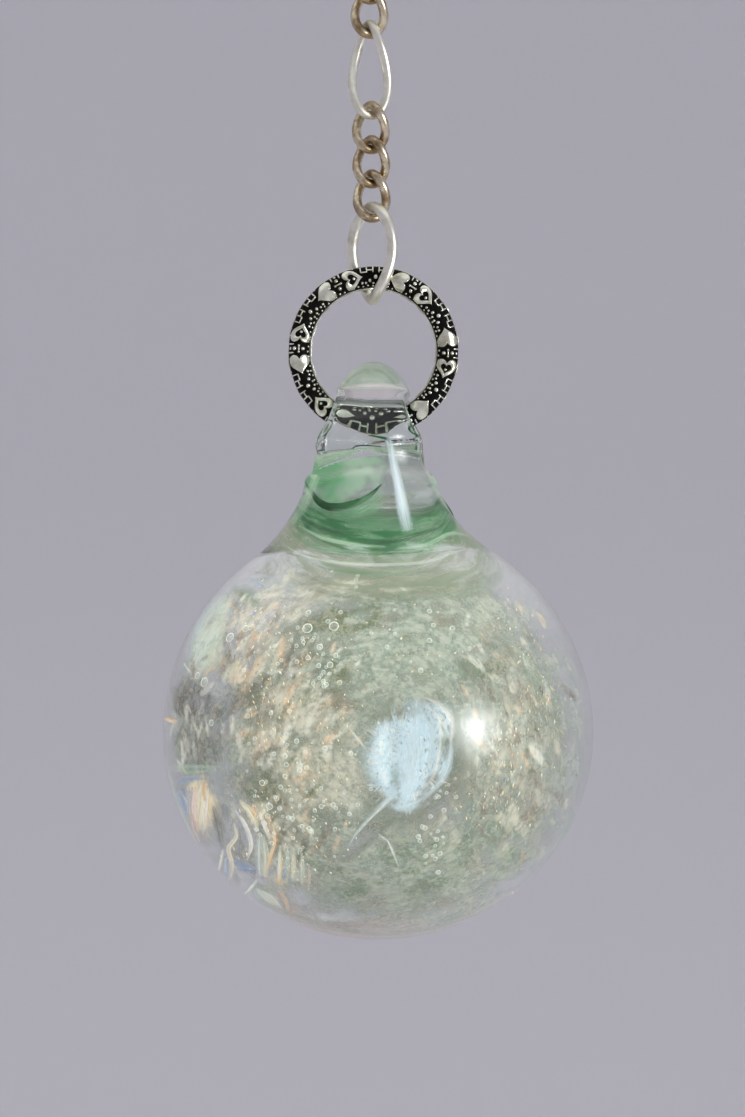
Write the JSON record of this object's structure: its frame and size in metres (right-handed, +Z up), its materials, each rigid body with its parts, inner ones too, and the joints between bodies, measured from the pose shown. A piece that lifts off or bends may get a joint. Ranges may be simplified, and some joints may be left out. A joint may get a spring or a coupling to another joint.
{
  "type": "memorial pendant",
  "caption": "Glass ball drop with coloured glass inside and a glass loop, on a silver ring cast with hearts, hung from a short run of figaro chain.",
  "frame": {"origin": "the hanging point, at the inside of the top of the hanging ring", "axes": "+Z up along the hanging chain, front face towards -Y, +X to the viewer's right"},
  "size_m": [0.0374, 0.0374, 0.0926],
  "materials": {
    "polished_silver": "bright silver, lightly worn",
    "tarnished_silver": "silver with warm brown tarnish",
    "oxidised_silver": "silver, black in its recesses and bright on its relief",
    "clear_glass": "fire polished, clear with a green tint",
    "flecked_glass": "clouded with pale flecks and fine bubbles",
    "green_glass": "green bands in clear glass",
    "pale_glass": "pale opaque wisp in clear glass"
  },
  "bodies": {
    "chain": {"hanging_ring": "polished_silver", "upper_link_1": "tarnished_silver", "upper_link_2": "tarnished_silver", "long_link": "polished_silver", "lower_link_1": "tarnished_silver", "lower_link_2": "tarnished_silver", "lower_link_3": "tarnished_silver", "end_link": "polished_silver"},
    "ring": {"heart_ring": "oxidised_silver"},
    "drop": {"glass_drop": "clear_glass", "flecked_core": "flecked_glass", "green_swirl": "green_glass", "pale_wisp": "pale_glass"}
  },
  "joints": [
    {"name": "ring_swing", "type": "hinge", "parent": "chain", "child": "ring", "pos_m": [0, 0, -0.03397], "axis": [1, 0, 0], "range_deg": [-60, 60]},
    {"name": "drop_swing", "type": "hinge", "parent": "ring", "child": "drop", "pos_m": [0, 0, -0.04692], "axis": [1, 0, 0], "range_deg": [-75, 75]}
  ]
}
